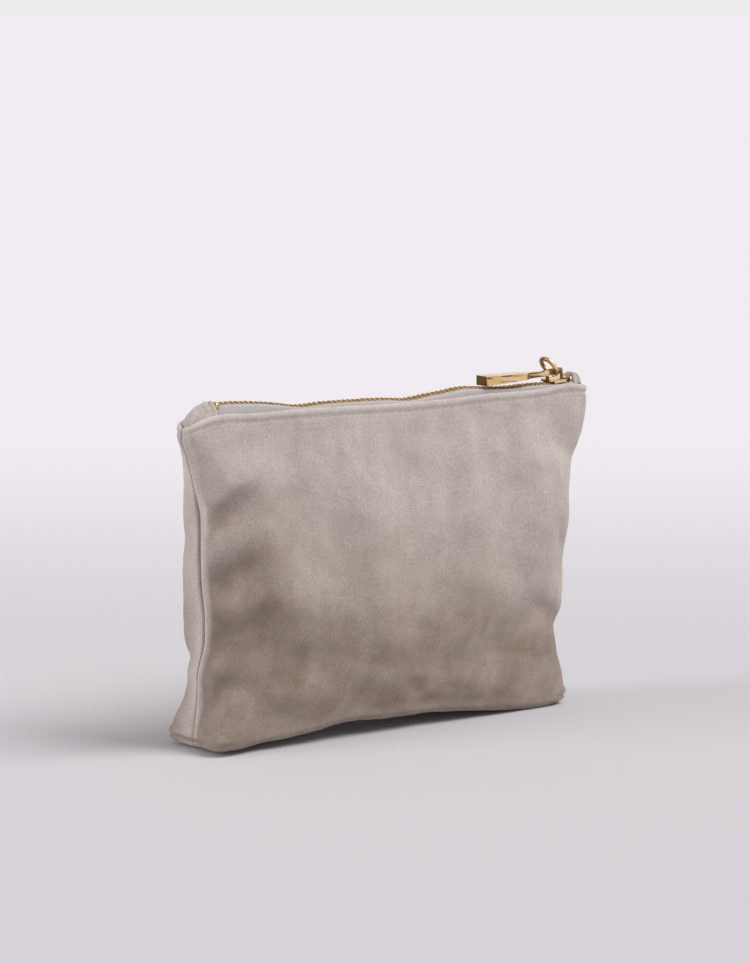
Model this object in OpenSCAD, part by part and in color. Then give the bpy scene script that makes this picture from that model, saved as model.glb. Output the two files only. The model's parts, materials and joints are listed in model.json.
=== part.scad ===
// Zip pouch for make-up: a soft suede bag with boxed bottom corners and a metal zip.
// X runs along the zip, the front faces -Y, the base stands on z = 0.

/* [Pouch] */
// Width over the side seams at the mouth
bag_w = 208; // [180:1:240]
// Height of the suede edge at the mouth
bag_h = 140.8; // [130:0.1:160]
// Width of the base
base_w = 190; // [180:1:200]
// Width at the waist, a little above the base
waist_w = 186; // [176:1:196]
// Height of the waist
waist_z = 28; // [20:1:40]
// Depth of the base, front to back
base_d = 44; // [38:1:52]
// How far the mouth leans forward of the middle of the base
lean = 12; // [0:1:14]
// Depth over the suede at the mouth
mouth_d = 13; // [12.6:0.2:16]
// Thickness of the suede
suede_t = 1.5; // [1:0.1:1.6]
// Thickness of the lining cloth
lining_t = 0.7; // [0.4:0.1:0.8]

/* [Mouth] */
// Height of the line that the mouth folds out about
fold_z = 62; // [60:1:66]
// Half the length of the mouth that folds out
mouth_half = 80.55; // [80.55:2.5:83.05]
// Clearance between the moving mouth and the fixed ends
mouth_gap = 0.2; // [0.15:0.05:0.3]

/* [Zip] */
// Height of the middle of the zip tape where the slider rests
zip_z = 142.3; // [142.2:0.1:143]
// Rise of the zip towards its open end, in degrees
zip_rise = 1; // [0:0.1:1]
// Thickness of the zip tape
tape_t = 0.6; // [0.4:0.1:0.7]
// Pitch of the teeth along one side
tooth_pitch = 2.5; // [2.5:0.1:2.8]
// Thickness of one tooth along the zip
tooth_t = 0.95; // [0.7:0.05:1]
// Height of the teeth
tooth_h = 2.2; // [1.8:0.1:2.4]

/* [Slider and puller] */
// Distance of the slider's middle from the bag's middle when closed
slider_x = 90.4; // [90.2:0.1:90.8]
// Length of the slider
slider_l = 11.8; // [11:0.1:12]
// Lean of the slider on the tape, its stop end the higher
slider_tilt = 5; // [0:0.5:5]
// Width of the slider
slider_w = 7.9; // [7.4:0.1:8]
// Diameter over the pull ring
ring_d = 9.8; // [9.6:0.1:10]
// Diameter of the ring's wire
wire_d = 1.6; // [1.4:0.1:1.7]
// Length of the puller's bar
bar_l = 22; // [16:1:30]
// Width of the puller's bar
bar_w = 8.2; // [6:0.1:9]
// Thickness of the puller's bar at its free end
bar_t = 4.2; // [3.4:0.1:4.4]
// Thickness of the bar where its neck starts
bar_thin = 2.8; // [2.6:0.1:3.4]

/* [Hidden] */
$fn = 48;

SUEDE = [0.69, 0.64, 0.60];
LINING = [0.80, 0.76, 0.71];
TAPE = [0.72, 0.71, 0.72];
THREAD = [0.80, 0.77, 0.74];
BRASS = [0.70, 0.54, 0.26];
GOLD = [0.92, 0.78, 0.55];

lining_gap = 0.3;          // between the suede and its lining
fixed_half = mouth_half + mouth_gap;
lip_z = fold_z - 4;        // the mouth's lower lip tucks in behind the fixed panel
lip_in = suede_t + 0.6;    // how far in that lip sits
lining_top = fold_z - 8;   // top of the fixed lining
corner_cuts = 6;           // steps round each end of a section
front_cuts = 12;           // steps along the straight front of a section
last_col = 2 * corner_cuts + front_cuts;

// ---- The pouch's shape: a squared oval at each height ----

// Half width of the bag at a height: a foot, a waist above it and a wide mouth
function half_w(z) = z < waist_z
    ? waist_w / 2 + (base_w - waist_w) / 2 * pow(1 - z / waist_z, 2)
    : waist_w / 2 + (bag_w - waist_w) / 2 * pow((z - waist_z) / (bag_h - waist_z), 0.85);
// Half depth of the bag at a height
function half_d(z) = let (t = z / bag_h)
    mouth_d / 2 + (base_d - mouth_d) / 2 * (1 - t) * (1 + 0.35 * t);
// How far forward the middle of the bag has leant at a height
function lean_at(z) = lean * z / bag_h;
// How square the oval is: square at the base, full in the middle, flat at the mouth
function squareness(z) = 3.9 + 2.1 * pow(max(0, 1 - z / 40), 2)
    + 8 * pow(max(0, (z - 95) / (bag_h - 95)), 2);
// The soft bottom edge turns in under the bag
function turn_in(z) = 2.8 * pow(max(0, 1 - z / 3.2), 2);
// An inner skin's floor lies higher than the outer one by its own offset
function skin_z(z, floor_up) = z + floor_up * max(0, 1 - z / 12);
// Where the front surface lies at a place along the bag, for a skin this far in.
// The back is drawn as a mirrored front that leans the other way: its tip is -1.
function front_y(x, z, inset, tip) =
    -(half_d(z) - inset) * pow(1 - pow(abs(x) / (half_w(z) - inset), squareness(z)),
                               1 / squareness(z)) - tip * lean_at(z);

// A point of the front half's section: column 0 is the left seam, the last the right seam
function section_point(col, z, inset, tip) =
    let (a = half_w(z) - turn_in(z) - inset, d = half_d(z) - turn_in(z) - inset,
         n = squareness(z), end = acos(pow(fixed_half / a, n / 2)),
         side = col <= corner_cuts ? -1 : 1,
         step = side < 0 ? col : last_col - col)
    (col < corner_cuts || col > last_col - corner_cuts)
        ? [side * a * pow(cos(end * step / corner_cuts), 2 / n),
           -d * pow(sin(end * step / corner_cuts), 2 / n) - tip * lean_at(z)]
        : let (x = -fixed_half + 2 * fixed_half * (col - corner_cuts) / front_cuts)
          [x, -d * pow(1 - pow(abs(x) / a, n), 1 / n) - tip * lean_at(z)];

// A point of the mouth's flap: it lies in behind the fixed panel at its lip,
// and comes out to the bag's surface above the fold
function flap_inset(z) = let (t = min(1, max(0, (z - fold_z - 5) / 15)))
    lip_in * (1 - t * t * (3 - 2 * t));
function flap_point(col, z, inset, tip) =
    let (x = -mouth_half + 2 * mouth_half * col / front_cuts)
    [x, front_y(x, z, inset + flap_inset(z), tip)];

// Four walls of one cell of a skin: faces only where the next cell is missing
function cell_walls(r, c, cols, under, left, over, right, n) =
    let (a = r * cols + c, b = a + 1, e = a + cols, f = e + 1)
    concat(under ? [[a, b, b + n, a + n]] : [], left ? [[e, a, a + n, e + n]] : [],
           over ? [[f, e, e + n, f + n]] : [], right ? [[b, f, f + n, b + n]] : []);

// A closed skin between two grids of points, over the cells that are present
module skin(outer, inner, rows, cols, present, floor) {
    n = rows * cols;
    cells = [for (r = [0:rows - 2], c = [0:cols - 2]) if (present[r][c]) [r, c]];
    function there(r, c) = r >= 0 && c >= 0 && r < rows - 1 && c < cols - 1 && present[r][c];
    faces = concat(
        [for (q = cells) let (a = q[0] * cols + q[1])
            each [[a, a + cols, a + cols + 1], [a, a + cols + 1, a + 1]]],
        [for (q = cells) let (a = q[0] * cols + q[1] + n)
            each [[a, a + cols + 1, a + cols], [a, a + 1, a + cols + 1]]],
        [for (q = cells) each cell_walls(q[0], q[1], cols,
            !there(q[0] - 1, q[1]) && !(floor && q[0] == 0), !there(q[0], q[1] - 1),
            !there(q[0] + 1, q[1]), !there(q[0], q[1] + 1), n)],
        floor ? [[for (c = [0:cols - 1]) c], [for (c = [cols - 1:-1:0]) c + n],
                 [0, cols - 1, cols - 1 + n, n]] : []);
    polyhedron(concat(outer, inner), faces, convexity = 6);
}

// The front half of the fixed bag: its wall, its ends and its half of the base
module half_shell(out_inset, in_inset, heights, notch_z, tip) {
    rows = len(heights);
    cols = last_col + 1;
    function grid(inset) = [for (z = heights, c = [0:last_col])
        let (p = section_point(c, z, inset, tip)) [p[0], p[1], skin_z(z, inset)]];
    present = [for (r = [0:rows - 2]) [for (c = [0:last_col - 1])
        heights[r] < notch_z || c < corner_cuts || c >= last_col - corner_cuts]];
    skin(grid(out_inset), grid(in_inset), rows, cols, present, true);
}

// The part of the front that folds out
module flap(out_inset, in_inset, heights, tip) {
    rows = len(heights);
    cols = front_cuts + 1;
    function grid(inset) = [for (z = heights, c = [0:front_cuts])
        let (p = flap_point(c, z, inset, tip)) [p[0], p[1], z]];
    present = [for (r = [0:rows - 2]) [for (c = [0:front_cuts - 1]) true]];
    skin(grid(out_inset), grid(in_inset), rows, cols, present, false);
}

module at_back() {
    mirror([0, 1, 0]) children();
}

// Moves what is drawn on the zip's own line to the leaning mouth and its rising line
module at_mouth() {
    translate([slider_x, -lean, zip_z]) rotate([0, zip_rise, 0])
        translate([-slider_x, 0, -zip_z]) children();
}

panel_heights = [0, 0.8, 2, 3.2, 8, 16, 28, 40, 52, fold_z, 76, 92, 106, 118, 128, 135, bag_h];
lining_heights = [0, 0.8, 2, 3.2, 8, 16, 28, 40, 48, lining_top];
upper_heights = [lip_z, fold_z, fold_z + 5, 72, 77, 82, 92, 102, 112, 121, 129, 135, bag_h];
upper_lining_heights = [72, 77, 82, 92, 102, 112, 120, 126, 131];
lining_out = suede_t + lining_gap;
lining_in = lining_out + lining_t;

module front_panel() {
    color(SUEDE) half_shell(0, suede_t, panel_heights, fold_z, 1);
}

module back_panel() {
    color(SUEDE) at_back() half_shell(0, suede_t, panel_heights, fold_z, -1);
}

module front_lining() {
    color(LINING) half_shell(lining_out, lining_in, lining_heights, bag_h, 1);
}

module back_lining() {
    color(LINING) at_back() half_shell(lining_out, lining_in, lining_heights, bag_h, -1);
}

module front_panel_upper() {
    color(SUEDE) flap(0, suede_t - 0.1, upper_heights, 1);
}

module back_panel_upper() {
    color(SUEDE) at_back() flap(0, suede_t - 0.1, upper_heights, -1);
}

module front_lining_upper() {
    color(LINING) flap(lining_out, lining_in, upper_lining_heights, 1);
}

module back_lining_upper() {
    color(LINING) at_back() flap(lining_out, lining_in, upper_lining_heights, -1);
}

// ---- Zip tape, teeth and stops ----

tape_edge = 1.25;          // the tape's beaded edge, from the middle of the zip
tape_out = 4.7;            // where the tape turns down behind the suede
tape_down = 133;           // lower edge of the tape inside the bag
tape_end = 101;            // the tape's ends, under the end tabs
tape_turn_end = 91.5;      // the turned-down part stops short of the tabs
tooth_tip = 0.7;           // the teeth reach this far past the middle
tooth_root = 3;            // and grip the tape this far out

// Draws an outline in the YZ plane along X, between two places
module along_x(x0, x1) {
    translate([x0, 0, 0]) rotate([90, 0, 90]) linear_extrude(x1 - x0) children();
}

module tape_flat(x0, x1) {
    along_x(x0, x1) translate([-tape_out, zip_z - tape_t / 2])
        square([tape_out - tape_edge, tape_t]);
}

module tape_folded(x0, x1) {
    along_x(x0, x1) polygon([
        [-tape_edge, zip_z - tape_t / 2], [-tape_edge, zip_z + tape_t / 2],
        [-tape_out, zip_z + tape_t / 2], [-tape_out, tape_down],
        [-tape_out + 0.5, tape_down], [-tape_out + 0.5, zip_z - tape_t / 2]]);
}

// A tooth or stop: a head at the middle and two jaws that grip the tape
module grip(x, length, tip, height) {
    jaw = tape_t / 2 + 0.02;
    head = height * 0.36;
    along_x(x - length / 2, x + length / 2) translate([0, zip_z]) polygon([
        [tip, -head], [tip, head], [-tape_edge + 0.3, height / 2],
        [-tooth_root, height / 2], [-tooth_root, jaw], [-tape_edge + 0.02, jaw],
        [-tape_edge + 0.02, -jaw], [-tooth_root, -jaw], [-tooth_root, -height / 2],
        [-tape_edge + 0.3, -height / 2]]);
}

module teeth(first, last, shift) {
    for (i = [first:last]) grip((i + shift) * tooth_pitch, tooth_t, tooth_tip, tooth_h);
}

module tape_ends() {
    color(TAPE) {
        for (side = [0, 1]) mirror([side, 0, 0]) union() {
            tape_folded(fixed_half, tape_turn_end);
            tape_flat(tape_turn_end, tape_end);
        }
    }
}

module front_tape() {
    color(TAPE) at_mouth() tape_folded(-mouth_half, mouth_half);
}

module back_tape() {
    color(TAPE) at_mouth() at_back() tape_folded(-mouth_half, mouth_half);
}

module front_tape_ends() {
    at_mouth() tape_ends();
}

module back_tape_ends() {
    at_mouth() at_back() tape_ends();
}

module front_teeth() {
    color(BRASS) at_mouth() teeth(-32, 32, 0);
}

module back_teeth() {
    color(BRASS) at_mouth() at_back() teeth(-32, 31, 0.5);
}

module front_end_teeth() {
    color(BRASS) at_mouth() {
        teeth(-35, -33, 0);
        teeth(33, 37, 0);
    }
}

module back_end_teeth() {
    color(BRASS) at_mouth() at_back() {
        teeth(-36, -33, 0.5);
        teeth(32, 36, 0.5);
    }
}

stop_l = 1.6;              // length of the stops along the zip
stop_gap = 0.2;            // between a stop and the slider or tab beside it
top_stop_x = slider_x + slider_l / 2 + stop_gap + stop_l / 2;
left_tab_in = 92;          // inner end of the long left tab
bottom_stop_x = left_tab_in - stop_gap - stop_l / 2;

module top_stops() {
    color(GOLD) at_mouth() {
        grip(top_stop_x, stop_l, -0.6, tooth_h + 0.2);
        at_back() grip(top_stop_x, stop_l, -0.6, tooth_h + 0.2);
    }
}

module bottom_stop() {
    color(GOLD) at_mouth() union() {
        grip(-bottom_stop_x, stop_l, 0.1, tooth_h + 0.2);
        at_back() grip(-bottom_stop_x, stop_l, 0.1, tooth_h + 0.2);
    }
}

// ---- Suede tabs folded over the zip's ends, and their stitches ----

right_tab_in = 99.3;       // inner end of the right tab
tab_out = 104;             // outer end of both tabs
tab_half = 5.6;            // half the width of a tab
tab_t = 0.8;               // thickness of each layer over the tape

module end_tab(tab_in) {
    top = zip_z + tape_t / 2 + 0.02 + tab_t;
    low = zip_z - tape_t / 2 - 0.02 - tab_t;
    color(SUEDE) difference() {
        translate([tab_in, -tab_half, low]) cube([tab_out - tab_in, 2 * tab_half, top - low]);
        translate([tab_in - 1, -tab_half - 1, zip_z - tape_t / 2 - 0.02])
            cube([tape_end + 1.2 - tab_in, 2 * tab_half + 2, tape_t + 0.04]);
        translate([tab_out, 0, low]) rotate([0, 45, 0]) cube([1.1, 20, 1.1], center = true);
        translate([tab_out, 0, top]) rotate([0, 45, 0]) cube([1.1, 20, 1.1], center = true);
    }
}

module tab_stitches(row_x) {
    for (i = [-2:2])
        translate([row_x, i * 2.2, zip_z + tape_t / 2 + 0.04 + tab_t])
            translate([-0.2, -0.8, 0]) cube([0.4, 1.6, 0.2]);
}

module right_end_tab() {
    at_mouth() end_tab(right_tab_in);
}

module left_end_tab() {
    at_mouth() mirror([1, 0, 0]) end_tab(left_tab_in);
}

module right_tab_stitches() {
    color(THREAD) at_mouth() tab_stitches(right_tab_in + 0.9);
}

module left_tab_stitches() {
    color(THREAD) at_mouth() mirror([1, 0, 0]) {
        tab_stitches(left_tab_in + 0.9);
        tab_stitches(left_tab_in + 3.6);
    }
}

// ---- Topstitching along the suede's folded edge ----

stitch_pitch = 3;
stitch_l = 2.2;
stitch_drop = 2.4;         // below the suede edge

module topstitch(first, last, tip) {
    z = bag_h - stitch_drop;
    color(THREAD) for (i = [first:last]) let (x = (i + 0.5) * stitch_pitch)
        translate([x - stitch_l / 2, front_y(x, z, 0, tip) - 0.55, z - 0.2])
            cube([stitch_l, 0.4, 0.4]);
}

module front_topstitch() {
    topstitch(-26, 25, 1);
}

module back_topstitch() {
    at_back() topstitch(-26, 25, -1);
}

module topstitch_ends(tip) {
    topstitch(-30, -28, tip);
    topstitch(27, 29, tip);
}

module front_topstitch_ends() {
    topstitch_ends(1);
}

module back_topstitch_ends() {
    at_back() topstitch_ends(-1);
}

// ---- Slider, its bail, the puller and the ring ----

channel = tooth_h / 2 + 0.3 + slider_l / 2 * sin(slider_tilt);  // half its channel's height
plate_t = 0.85;                    // thickness of each plate
flange_w = 0.7;                    // width of each flange
flange_l = 6.8;                    // length of each flange
slit = tape_t / 2 + 0.3 + flange_l / 2 * sin(slider_tilt);  // half the tape slit's height
plate_top = zip_z + channel + plate_t;
wire_r = wire_d / 2;
ring_r = (ring_d - wire_d) / 2;
lug_t = 1.2;                       // thickness of the puller's lug
lug_y = -1.9;                      // middle of the lug, beside the bail
lug_rise = 0.66;                   // how far the ring has curved up at the lug
lug_r = 2.15;
lug_hole_r = 1.42;
ring_lean = 38;                    // the ring leans this far over the puller
bail_w = 1.6;
bail_l = 9;
bail_t = 0.8;
hook_x = 89.2;                     // the ring's lowest point, under the bail
hook_z = plate_top + 2.1;
bail_top = hook_z + wire_r + 0.65 + bail_t;
eye_x = hook_x - lug_rise * sin(ring_lean);
eye_z = hook_z + lug_rise * cos(ring_lean);
free_end_x = 47.6;                   // the puller's free end, over the teeth
rest_gap = 0.4;                    // under the free end
bar_mid = zip_z + tooth_h / 2 + rest_gap + bar_t / 2;
bar_tilt = atan((eye_z - bar_mid) / (eye_x - free_end_x));

module rounded_plate(length, width, r, z, t) {
    translate([slider_x, 0, z]) linear_extrude(t) union() {
        square([length - 2 * r, width], center = true);
        square([length, width - 2 * r], center = true);
        for (sx = [-1, 1], sy = [-1, 1])
            translate([sx * (length / 2 - r), sy * (width / 2 - r)]) circle(r);
    }
}

// Leans the slider about its own middle
module leant() {
    translate([slider_x, 0, zip_z]) rotate([0, -slider_tilt, 0])
        translate([-slider_x, 0, -zip_z]) children();
}

// One wing of the slider: a plate with a flange along each side
module wing() {
    union() {
        rounded_plate(slider_l, slider_w, 2.2, zip_z + channel, plate_t);
        for (side = [-1, 1])
            translate([slider_x - flange_l / 2,
                       side * (slider_w - flange_w) / 2 - flange_w / 2, zip_z + slit])
                cube([flange_l, flange_w, channel - slit + 0.1]);
    }
}

module slider_body() {
    color(GOLD) at_mouth() leant() {
        wing();
        translate([0, 0, 2 * zip_z]) mirror([0, 0, 1]) wing();
    }
}

module slider_bail() {
    outer_r = 2;
    inner_r = outer_r - bail_t;
    color(GOLD) at_mouth() leant() translate([slider_x, bail_w / 2, 0]) rotate([90, 0, 0])
        linear_extrude(bail_w) difference() {
            arch(bail_l, plate_top, bail_top, outer_r);
            arch(bail_l - 2 * bail_t, plate_top - 1, bail_top - bail_t, inner_r);
        }
}

// A flat-footed outline with round top corners
module arch(length, low, high, r) {
    union() {
        translate([-length / 2, low]) square([length, high - low - r]);
        translate([-length / 2 + r, low]) square([length - 2 * r, high - low]);
        for (side = [-1, 1]) translate([side * (length / 2 - r), high - r]) circle(r);
    }
}

module pull_ring() {
    color(GOLD) at_mouth() translate([hook_x, 0, hook_z]) rotate([0, -ring_lean, 0])
        translate([0, 0, ring_r]) rotate([0, 90, 0])
            rotate_extrude() translate([ring_r, 0]) circle(wire_r);
}

// Puller: a flat bar that thins towards its neck, and a thin lug with the eye for the ring
module puller_bar() {
    reach = (eye_x - free_end_x) / cos(bar_tilt);
    bar_end = bar_l - reach;
    neck_end = -4.9;
    lug_start = neck_end + 1.4;
    neck_w = 3.8;
    neck_t = 2;
    shoulder = 3.6;
    bevel = 0.5;
    color(GOLD) at_mouth() translate([eye_x, lug_y, eye_z]) rotate([0, -bar_tilt, 0])
        difference() {
            union() {
                intersection() {
                    linear_extrude(bar_t, center = true) polygon([
                        [-reach, bevel - bar_w / 2], [bevel - reach, -bar_w / 2],
                        [bar_end, -bar_w / 2], [bar_end + shoulder, -neck_w / 2],
                        [neck_end, -neck_w / 2], [lug_start, -lug_t / 2],
                        [lug_start, lug_t / 2], [neck_end, neck_w / 2],
                        [bar_end + shoulder, neck_w / 2], [bar_end, bar_w / 2],
                        [bevel - reach, bar_w / 2], [-reach, bar_w / 2 - bevel]]);
                    rotate([90, 0, 0]) linear_extrude(bar_w, center = true) polygon([
                        [-reach, -bar_t / 2], [bar_end, -bar_thin / 2],
                        [lug_start, -neck_t / 2], [lug_start, neck_t / 2],
                        [bar_end, bar_thin / 2], [-reach, bar_t / 2]]);
                }
                rotate([90, 0, 0]) linear_extrude(lug_t, center = true) union() {
                    circle(lug_r);
                    translate([neck_end, -neck_t / 2]) square([-neck_end, neck_t]);
                }
            }
            rotate([90, 0, 0]) cylinder(r = lug_hole_r, h = 10, center = true);
        }
}

front_panel();
back_panel();
front_lining();
back_lining();
left_end_tab();
right_end_tab();
left_tab_stitches();
right_tab_stitches();
front_tape_ends();
back_tape_ends();
front_end_teeth();
back_end_teeth();
top_stops();
bottom_stop();
front_topstitch_ends();
back_topstitch_ends();
front_panel_upper();
front_lining_upper();
front_tape();
front_teeth();
front_topstitch();
back_panel_upper();
back_lining_upper();
back_tape();
back_teeth();
back_topstitch();
slider_body();
slider_bail();
puller_bar();
pull_ring();
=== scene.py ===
"""Looks of the zip pouch: suede shells, lining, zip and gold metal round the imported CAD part.

Lengths are in millimetres in the CAD frame until a mesh is made:
+X runs along the zip towards its closed end, the front faces -Y and +Z is up.
"""

import json
import math

import bpy
import numpy as np
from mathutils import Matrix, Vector


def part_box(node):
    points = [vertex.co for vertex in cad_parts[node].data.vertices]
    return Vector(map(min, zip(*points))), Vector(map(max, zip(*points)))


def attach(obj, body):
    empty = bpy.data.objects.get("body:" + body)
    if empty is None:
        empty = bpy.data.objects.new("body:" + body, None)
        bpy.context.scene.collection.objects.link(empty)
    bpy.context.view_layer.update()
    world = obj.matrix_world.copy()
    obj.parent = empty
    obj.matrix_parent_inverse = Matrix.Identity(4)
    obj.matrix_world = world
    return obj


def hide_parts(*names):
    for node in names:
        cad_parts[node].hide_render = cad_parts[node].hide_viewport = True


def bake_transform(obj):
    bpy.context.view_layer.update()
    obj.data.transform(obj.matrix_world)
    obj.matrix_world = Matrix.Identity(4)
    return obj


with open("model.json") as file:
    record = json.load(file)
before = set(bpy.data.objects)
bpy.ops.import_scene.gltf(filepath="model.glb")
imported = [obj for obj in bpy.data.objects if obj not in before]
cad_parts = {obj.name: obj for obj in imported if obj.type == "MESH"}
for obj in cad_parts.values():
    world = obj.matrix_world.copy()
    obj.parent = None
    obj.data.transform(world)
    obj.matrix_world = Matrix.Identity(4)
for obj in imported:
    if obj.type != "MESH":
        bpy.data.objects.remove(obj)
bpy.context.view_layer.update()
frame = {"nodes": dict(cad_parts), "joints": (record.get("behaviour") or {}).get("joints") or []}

MM = 0.001


def box_mm(node):
    low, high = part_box(node)
    return np.array(low) / MM, np.array(high) / MM


# ---------------------------------------------------------------- driving sizes

EDGE_Z = box_mm("front_panel_upper")[1][2]       # suede edge at the mouth
TOP_HALF_W = box_mm("front_panel")[1][0]         # side seam at the mouth
MOUTH_Y = (box_mm("front_teeth")[0][1] + box_mm("back_teeth")[1][1]) / 2
SLIDER_LOW, SLIDER_HIGH = box_mm("slider_body")
SLIDER_X = (SLIDER_LOW[0] + SLIDER_HIGH[0]) / 2
ZIP_Z = (SLIDER_LOW[2] + SLIDER_HIGH[2]) / 2
BASE_HALF_D = box_mm("back_panel")[1][1]         # half depth of the base
slide_axis = next(j for j in frame["joints"] if j["name"] == "slider_slide")["axis"]
ZIP_SLOPE = -slide_axis[2] / slide_axis[0]       # the zip's rise towards the open end
WAIST_HALF_W = 93.0
BASE_HALF_W = 95.0
WAIST_Z = 28.0
MOUTH_HALF_D = 6.5
SUEDE_T = 1.2
LINING_T = 0.45
HEM_T = 2.3                                      # the suede is folded double at the mouth
HEM_DROP = 8.0
STITCH_DROP = 2.5                                # topstitch below the folded edge
CREASE_Z = 3.9                                   # height of the boxed corner's seam
CORNER_REACH = 20.0                              # half length of that seam, from the side seam
EDGE_ROLL = 2.8                                  # how far the bottom edge rolls in
EDGE_ROLL_Z = 3.2                                # and how high that roll reaches
GROUND_GAP = 0.02                                # the outer skin never goes below this height
TEX_SCALE = 1000                                 # object coordinates in mm for the textures

# the cloth's settling
CLOTH_CAP = 5.0                                  # furthest that a point may settle
CLOTH_FRAMES = 20
CLOTH_ROWS, CLOTH_COLUMNS = 27, 43
SETTLED = {}                                     # how far the cloth of each side settles

# the zip
TAPE_T = 0.6
TAPE_EDGE = 1.2                                  # the beaded edge, from the zip's middle
TAPE_TURN = 4.1                                  # where it turns down behind the hem
TAPE_DROP = 8.5
TAPE_SPAN = (-96, 100.5)                         # the strip's ends, under the end tabs
TAPE_SINK = 1.0                                  # depth of the tape below the mouth's end roof
TAPE_CUTS = 250
TOOTH_PITCH = 2.5
TOOTH_T = 0.86
TOOTH_TIP = 0.68
TOOTH_ROOT = 3.0

# the mouth
MOUTH_REACH = 85.0                               # the mouth opens between these ends
MOUTH_BODY = {-1: "front_mouth", 1: "back_mouth"}
SIDE_NAME = {-1: "front", 1: "back"}
SIDES = (-1, 1)
ROOF_HALF = 4.9                                  # the mouth inside its hems
ROOF_POWER = {-1: 1.9, 1: 4.0}                   # how square the roof is, left and right
ROUND = {-1: 8.5, 1: 3.4}                        # how far in the ends start to round down
TAB_END = TOP_HALF_W - 1.9                       # where the end tabs meet the side seams
TAB_OVERHANG = {-1: 0.6, 1: 1.6}                 # past the CAD tab, over the zip
TAB_HALF_T = 1.3
TAB_STITCHES = {-1: (2.3, 5.2), 1: (1.6,)}       # rows, from the tab's inner end


def bump(x, middle, width):
    return np.exp(-((x - middle) / width) ** 2)


def step(x, start, end):
    t = np.clip((x - start) / (end - start), 0, 1)
    return t * t * (3 - 2 * t)


def ripple(a, b, seed, wavelength, terms=7):
    """Soft irregular waves over two coordinates, between about -1 and 1."""
    rng = np.random.default_rng(seed)
    total = 0
    for _ in range(terms):
        turn = rng.uniform(0, math.tau)
        pace = math.tau / (wavelength * rng.uniform(0.7, 1.5))
        total = total + np.sin(pace * (a * math.cos(turn) + b * math.sin(turn))
                               + rng.uniform(0, math.tau))
    return total / math.sqrt(terms * 2)


# ---------------------------------------------------------------- the bag's form

def half_w(z):
    z = np.clip(z, 0, EDGE_Z)
    foot = WAIST_HALF_W + (BASE_HALF_W - WAIST_HALF_W) * np.clip(1 - z / WAIST_Z, 0, 1) ** 2
    rise = np.clip((z - WAIST_Z) / (EDGE_Z - WAIST_Z), 0, 1) ** 0.85
    return foot + (TOP_HALF_W - WAIST_HALF_W) * rise


def half_d(z):
    t = np.clip(z / EDGE_Z, 0, 1)
    return MOUTH_HALF_D + (BASE_HALF_D - MOUTH_HALF_D) * (1 - t) * (1 + 0.35 * t)


def squareness(z):
    return (3.9 + 2.1 * np.clip(1 - z / 40, 0, 1) ** 2
            + 8 * np.clip((z - 95) / (EDGE_Z - 95), 0, 1) ** 2)


def lean_at(z):
    return MOUTH_Y * z / EDGE_Z


def outward(points, side):
    """Unit normals of a grid, out of the bag."""
    across = np.gradient(points, axis=1)
    up = np.gradient(points, axis=0)
    n = np.cross(across, up)
    n = n / np.maximum(np.linalg.norm(n, axis=2, keepdims=True), 1e-9)
    return n * -side


def seam_shift(z):
    """The left side seam swings round towards the front between the mouth and the base."""
    return 6.0 * step(z, 26, 48) * (1 - step(z, 100, 127))


def side_wave(z, left):
    """Outward push of the side walls, shared by front and back so the seams stay closed."""
    on_left = (2.6 * bump(z, 137, 6) - 0.9 * bump(z, 118, 9) + 0.5 * bump(z, 80, 16)
               - 0.7 * bump(z, 58, 9) + 0.5 * bump(z, 36, 8))
    on_right = (2.2 * bump(z, 129, 9) - 0.8 * bump(z, 100, 12) + 0.5 * bump(z, 70, 14)
                - 0.8 * bump(z, 48, 10))
    return np.where(left, on_left, on_right)


def flare(z, x, y):
    """The boxed corners of the base spread outwards at the ground."""
    foot = np.clip(1 - z / 26, 0, 1) ** 1.6 * (0.5 + 0.5 * step(z, 0, 6))
    corner = step(np.abs(x) / BASE_HALF_W, 0.72, 0.97) * step(np.abs(y) / BASE_HALF_D, 0.35, 0.9)
    return foot * corner


def zip_dz(x):
    """Height of the zip's middle above ZIP_Z: its straight rise, and the cloth's own waves."""
    line = (SLIDER_X - x) * ZIP_SLOPE
    sag = -2.3 * step(x, -84, -42) * (1 - step(x, -10, 75))
    waves = (-0.9 * bump(x, -49, 9) - 1.1 * bump(x, 8, 9) + 1.2 * bump(x, 38, 10)
             - 0.5 * bump(x, 63, 9))
    ends = 5.0 * step(x, 93, 103)
    return line + sag + waves + ends


def edge_dz(x, arc, side):
    """How far the suede's folded edge lies from its level at a place along the mouth."""
    middle = 12 if side < 0 else -6
    sag = -1.1 * bump(x, middle, 42)
    ears = 0.9 * bump(x, -90, 9) + 1.2 * bump(x, 92, 9)
    left = -4.6 * np.exp(-(np.abs(arc) / 9) ** 1.5)
    right = -1.6 * np.exp(-(np.abs(arc) / 4) ** 1.5)
    wave = 0.25 * ripple(x, 0 * x, 5 + side, 34) * step(np.abs(arc), 1, 12)
    return sag + ears + np.where(x < 0, left, right) + wave


def arch_at(x, side):
    """The base rises off the ground between its corners."""
    t = np.clip(1 - np.abs((x + 14) / 88) ** 2.2, 0, 1)
    return (6.0 if side < 0 else 4.6) * t ** 1.5 + 1.0 * bump(x, -27, 12) * (side < 0)


def fold(x, z, at_x, at_z, turn, length, width, depth):
    """One soft fold: a valley where depth is negative, lying along a line at turn degrees."""
    c, s = math.cos(math.radians(turn)), math.sin(math.radians(turn))
    along = (x - at_x) * c + (z - at_z) * s
    across = -(x - at_x) * s + (z - at_z) * c
    return depth * np.exp(-(along / length) ** 2 - (across / width) ** 2)


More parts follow.
